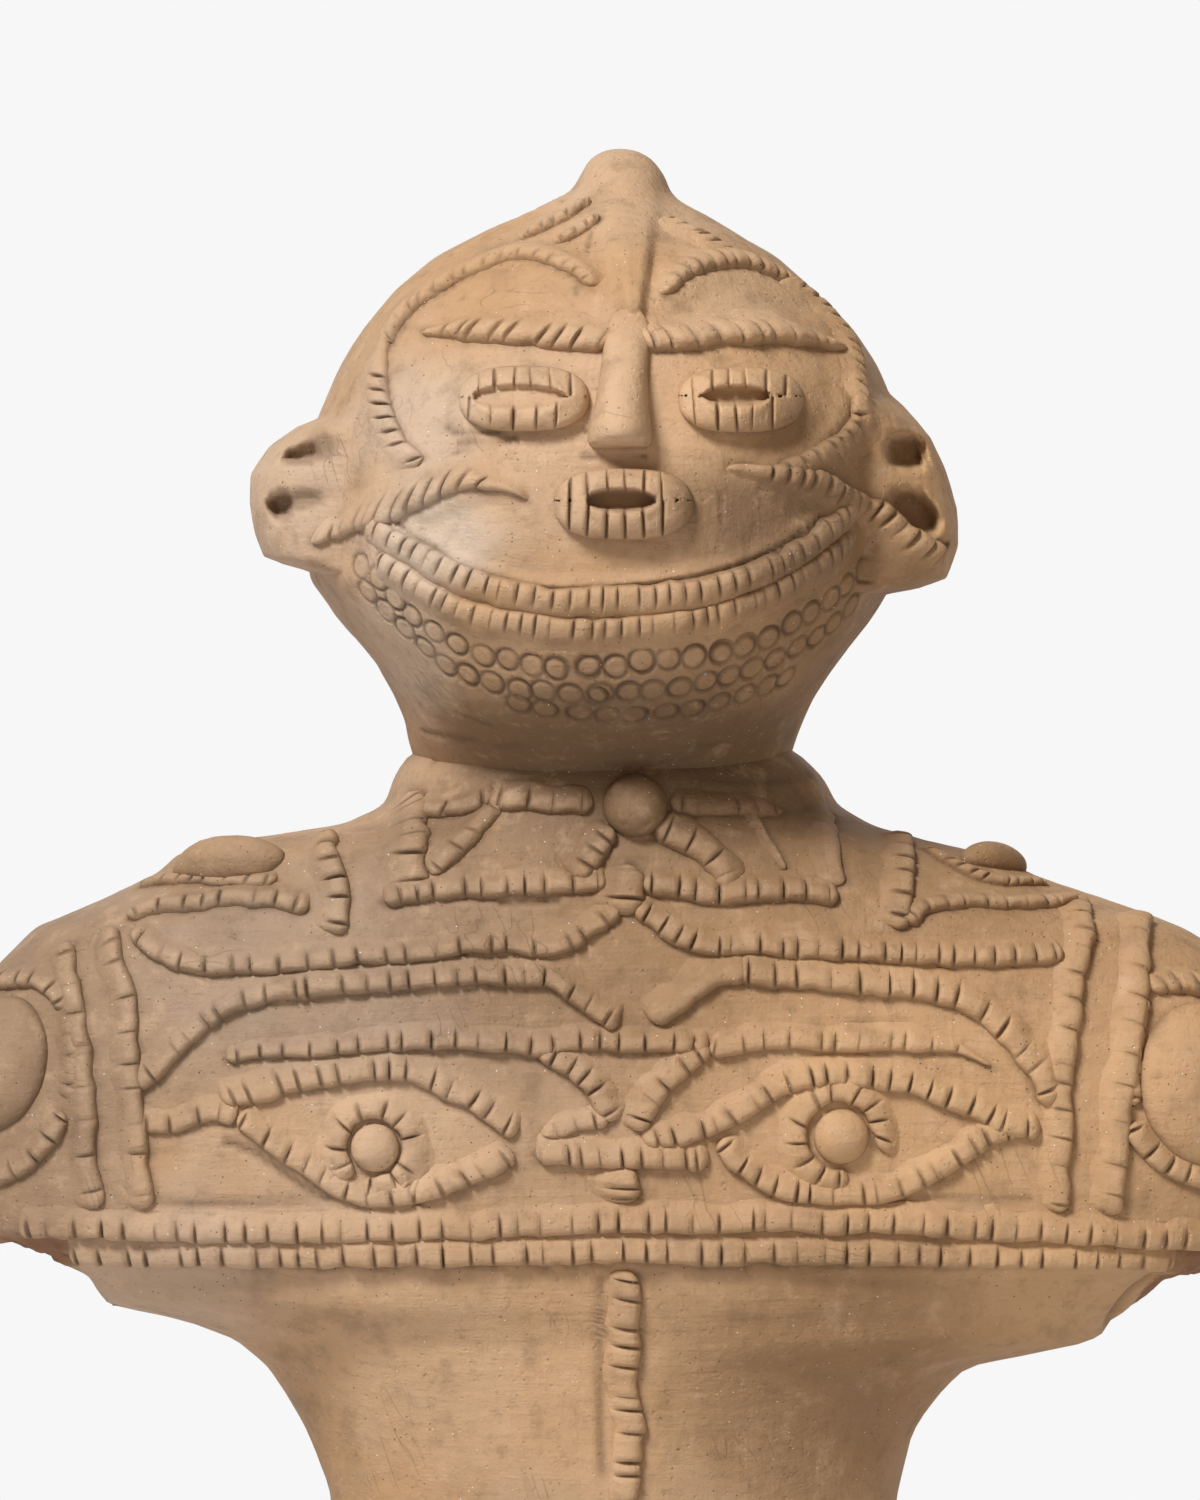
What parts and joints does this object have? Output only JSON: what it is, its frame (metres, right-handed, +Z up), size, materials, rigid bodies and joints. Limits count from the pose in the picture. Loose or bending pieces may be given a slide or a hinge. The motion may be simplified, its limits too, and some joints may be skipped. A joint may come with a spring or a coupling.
{
  "type": "dogu figurine",
  "caption": "Standing fired-clay figurine with slit eyes, applied cord relief, stubby legs and arms broken off below the shoulders; stands on its flat soles.",
  "frame": {"origin": "on the ground under the middle of the figure's outer box", "axes": "+Z up along the figure's height, -Y is the way the face looks, +X is to the right of a viewer who faces it"},
  "size_m": [0.248, 0.1086, 0.36],
  "materials": {
    "fired_clay": "matt, unglazed, low fired, with smoky patches"
  },
  "bodies": {
    "root": {"dogu_figurine": "fired_clay"}
  },
  "joints": []
}
